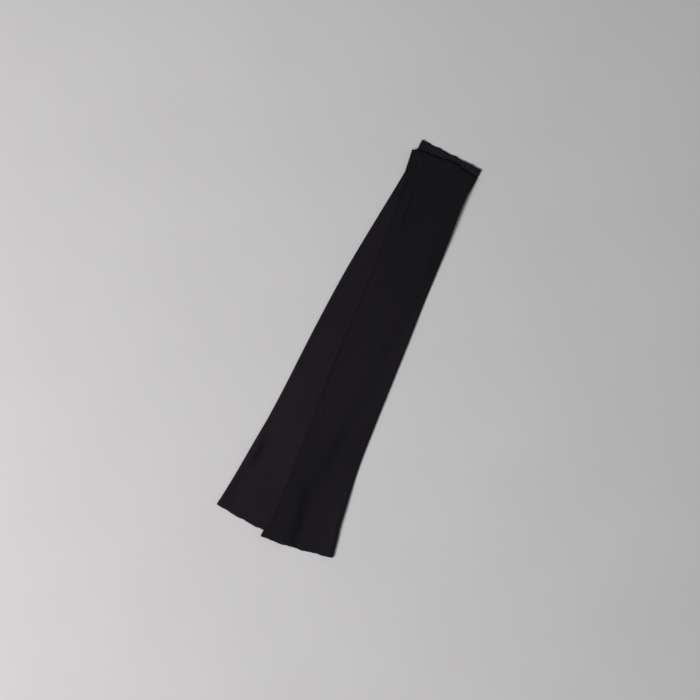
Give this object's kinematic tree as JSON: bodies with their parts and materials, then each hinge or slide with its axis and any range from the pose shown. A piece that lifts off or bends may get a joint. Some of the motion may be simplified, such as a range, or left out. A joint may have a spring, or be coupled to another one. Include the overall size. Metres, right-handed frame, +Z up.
{
  "type": "pair of leg warmers laid flat",
  "caption": "Long fine-knit leg warmers laid flat, one askew over the other: open tubes with narrow turned hems that pull on over the lower leg.",
  "frame": {"origin": "centre of the pair's bounding box, on the surface that the lower leg warmer lies on", "axes": "+Z up from the surface, +Y along the pair towards the top hems, midway between the directions of the two tubes, +X to the right seen from above"},
  "size_m": [0.1928, 0.642, 0.0093],
  "materials": {
    "black_knit": "matt fine wool knit, near black, with a faint soft nap"
  },
  "bodies": {
    "root": {"lower_leg_warmer": "black_knit", "upper_leg_warmer": "black_knit"}
  },
  "joints": []
}
